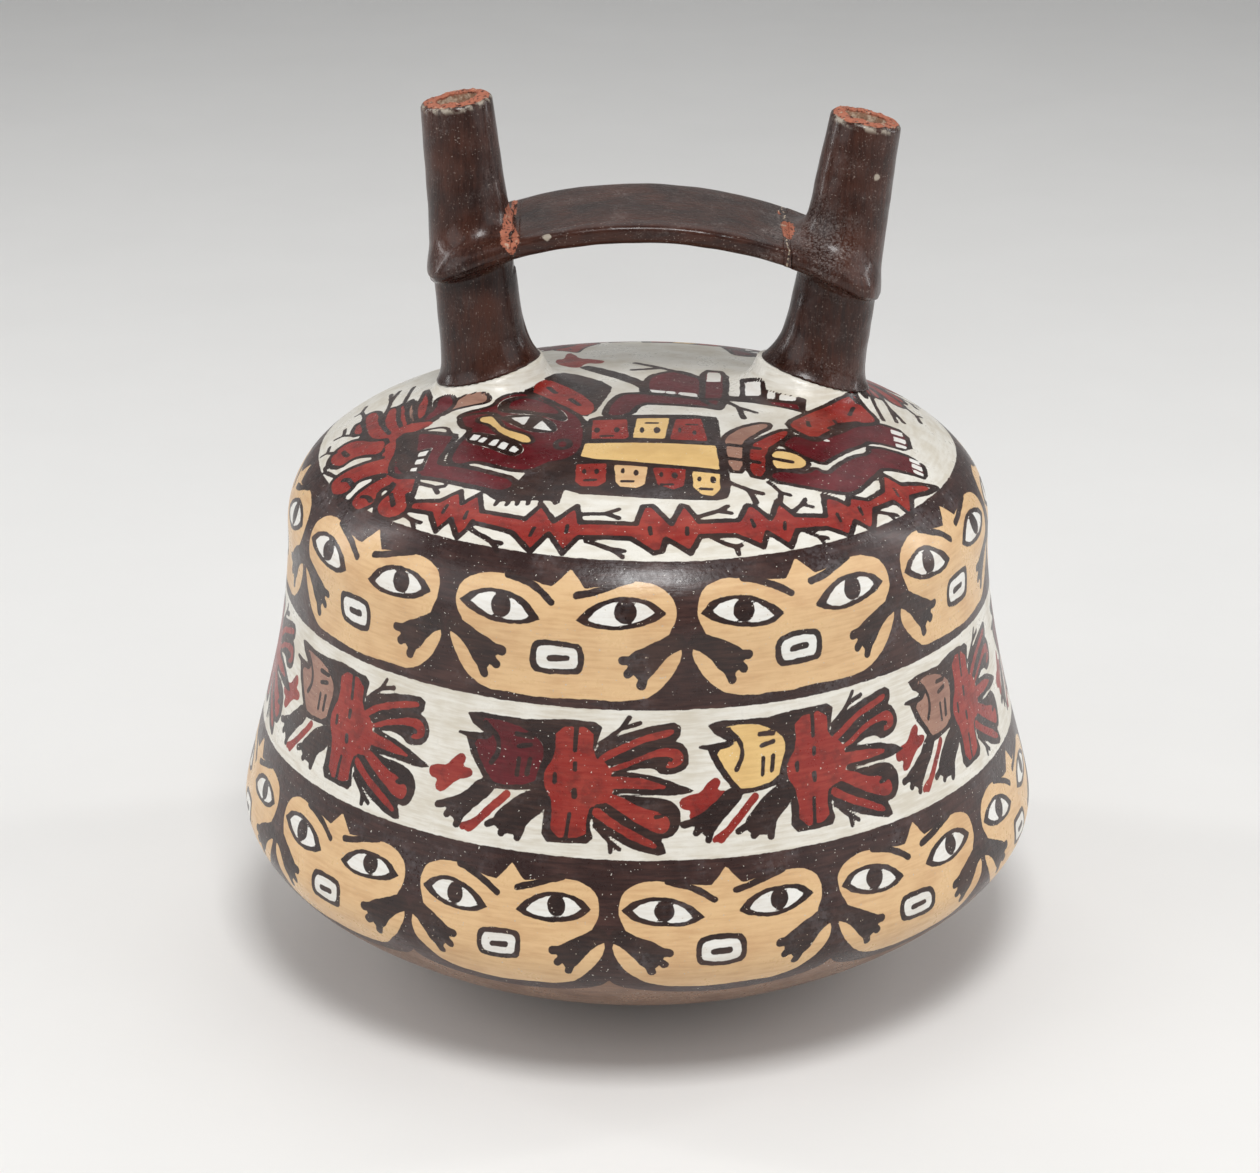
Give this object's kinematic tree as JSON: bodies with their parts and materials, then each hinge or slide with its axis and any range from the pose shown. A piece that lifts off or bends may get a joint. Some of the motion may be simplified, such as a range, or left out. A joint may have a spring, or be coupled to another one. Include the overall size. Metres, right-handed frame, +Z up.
{
  "type": "double spout and bridge vessel",
  "caption": "Hand-built ceramic bottle with a bell-shaped painted body, domed shoulder, two slender leaning spouts and a flat arched bridge between them.",
  "frame": {"origin": "centre of the small flat that the vessel rests on, below the axis of the body", "axes": "+Z up, +X towards the right spout as seen from the painted front, -Y towards the front"},
  "size_m": [0.17, 0.17, 0.1863],
  "materials": {
    "painted_slip": "burnished cream slip with dark, tan, red, maroon and ochre painting, soft sheen",
    "base_clay": "plain buff-brown clay, rubbed smooth and worn",
    "dark_slip": "dark brown slip burnished along the spouts, streaky gloss",
    "fill_clay": "rough orange clay with pale encrustation, matt"
  },
  "bodies": {
    "root": {"base_bowl": "base_clay", "lower_wall_course": "painted_slip", "middle_wall_course": "painted_slip", "upper_wall_course": "painted_slip", "shoulder_dome": "painted_slip", "left_spout": "dark_slip", "right_spout": "dark_slip", "left_spout_collar": "dark_slip", "right_spout_collar": "dark_slip", "left_bridge_root": "dark_slip", "right_bridge_root": "dark_slip", "bridge_strap": "dark_slip", "left_crack_fill": "fill_clay", "right_crack_fill": "fill_clay"}
  },
  "joints": []
}
